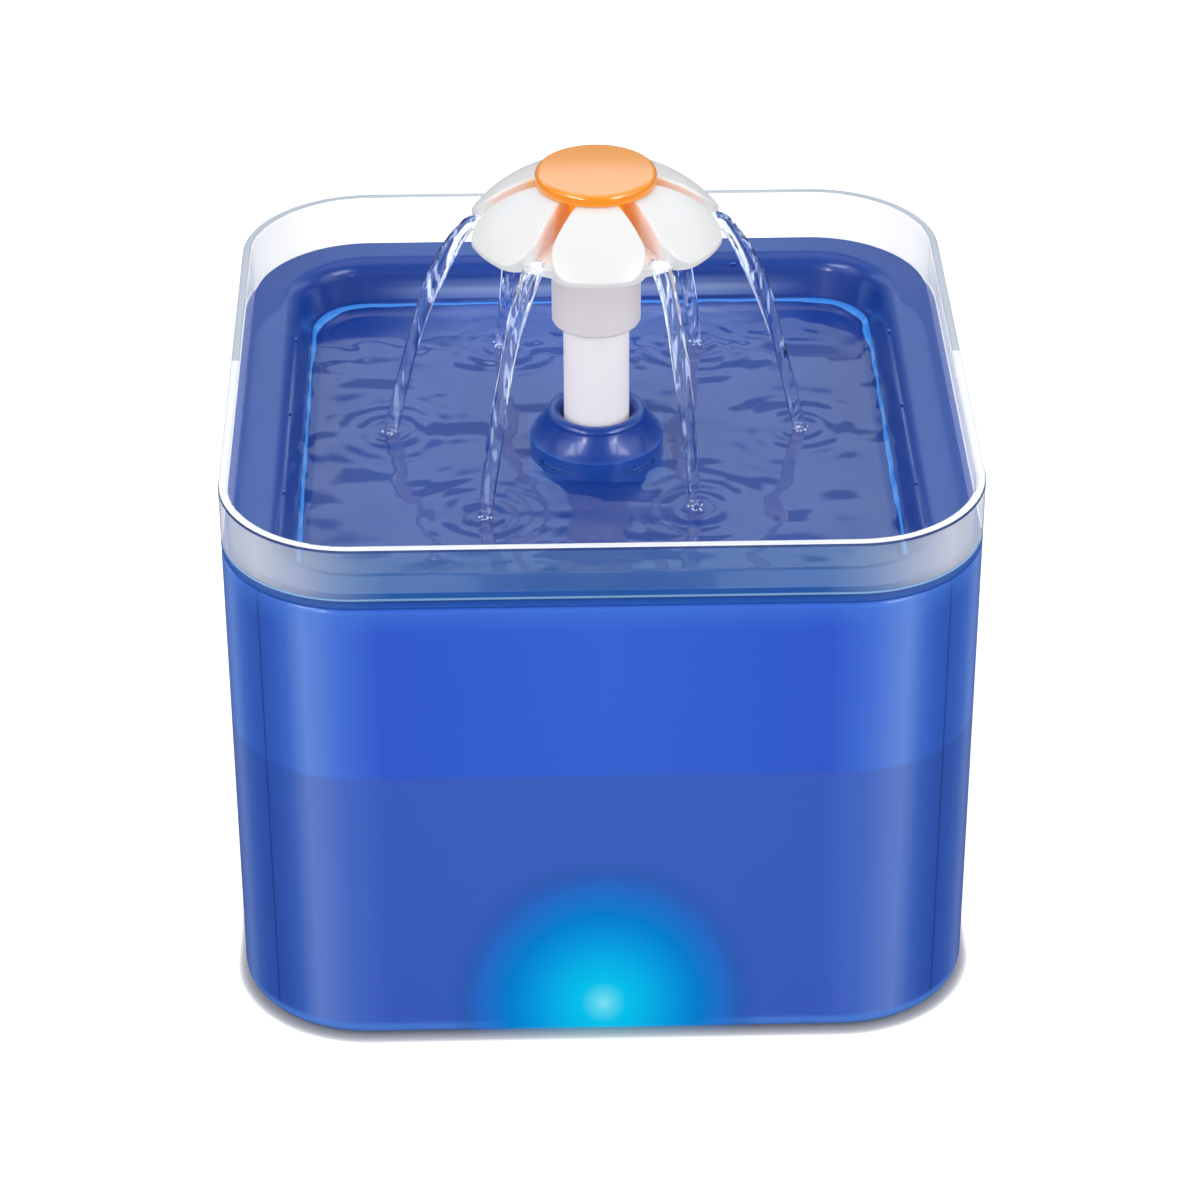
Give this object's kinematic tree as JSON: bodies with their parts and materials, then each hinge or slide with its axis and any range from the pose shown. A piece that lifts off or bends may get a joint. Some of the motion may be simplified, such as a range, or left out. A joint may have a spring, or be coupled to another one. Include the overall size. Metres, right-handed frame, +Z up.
{
  "type": "pet water fountain",
  "caption": "Square table-top pet water fountain with a see-through tank, clear splash ring, drinking tray and a flower nozzle fed by a submersible pump.",
  "frame": {"origin": "centre of the base, on the surface it stands on", "axes": "+Z up along the stem, -Y to the front where the light shows, +X to the right"},
  "size_m": [0.18, 0.18, 0.192],
  "materials": {
    "blue_clear_plastic": "glossy, see-through",
    "clear_plastic": "glossy, clear",
    "blue_plastic": "glossy",
    "white_plastic": "satin",
    "orange_plastic": "glossy",
    "pump_plastic": "fine matt texture",
    "potting_resin": "satin",
    "rubber": "matt",
    "silicone": "soft satin",
    "ceramic": "ground smooth",
    "core_steel": "laminated",
    "copper_wire": "enamelled",
    "ferrite": "matt",
    "board": "satin",
    "led_lens": "clear, lit",
    "black_foam": "open foam",
    "white_felt": "felted",
    "carbon": "granular",
    "resin_beads": "granular"
  },
  "bodies": {
    "tank": {"tank": "blue_clear_plastic", "foot_pads": "rubber", "cable_grommet": "rubber", "pump_housing": "pump_plastic", "volute_plate": "pump_plastic", "front_bush": "ceramic", "rear_bush": "rubber", "rotor_shaft": "ceramic", "stator_core": "core_steel", "stator_coil": "copper_wire", "potting": "potting_resin", "cable_gland": "rubber", "led_window": "clear_plastic", "led_board": "board", "leds": "led_lens", "outlet_seal": "silicone", "suction_cups": "silicone"},
    "ring": {"splash_ring": "clear_plastic"},
    "tray": {"tray": "blue_plastic"},
    "basket": {"filter_basket": "white_plastic", "filter_sponge": "black_foam", "lower_felt": "white_felt", "carbon_bed": "carbon", "resin_bed": "resin_beads", "upper_felt": "white_felt"},
    "flower": {"flower": "white_plastic", "stem_tube": "white_plastic"},
    "cap": {"flower_cap": "orange_plastic"},
    "impeller": {"impeller": "white_plastic", "rotor_magnet": "ferrite"},
    "intake": {"intake_cover": "pump_plastic", "intake_sponge": "black_foam"},
    "slider": {"flow_slider": "white_plastic"}
  },
  "joints": [
    {"name": "ring_lift", "type": "slide", "parent": "tank", "child": "ring", "axis": [0, 0, 1], "range_m": [0, 0.085]},
    {"name": "tray_lift", "type": "slide", "parent": "ring", "child": "tray", "axis": [0, 0, 1], "range_m": [0, 0.095]},
    {"name": "flower_lift", "type": "slide", "parent": "tray", "child": "flower", "axis": [0, 0, 1], "range_m": [0, 0.095]},
    {"name": "cap_lift", "type": "slide", "parent": "flower", "child": "cap", "axis": [0, 0, 1], "range_m": [0, 0.02]},
    {"name": "basket_twist", "type": "hinge", "parent": "tray", "child": "basket", "pos_m": [0, 0, 0.1], "axis": [0, 0, 1], "range_deg": [0, 50]},
    {"name": "rotor_spin", "type": "hinge", "parent": "tank", "child": "impeller", "pos_m": [0, 0, 0.031], "axis": [0, 1, 0], "continuous": true},
    {"name": "intake_pull", "type": "slide", "parent": "tank", "child": "intake", "axis": [0, -1, 0], "range_m": [0, 0.025]},
    {"name": "flow_slide", "type": "slide", "parent": "intake", "child": "slider", "axis": [-1, 0, 0], "range_m": [0, 0.016]}
  ]
}
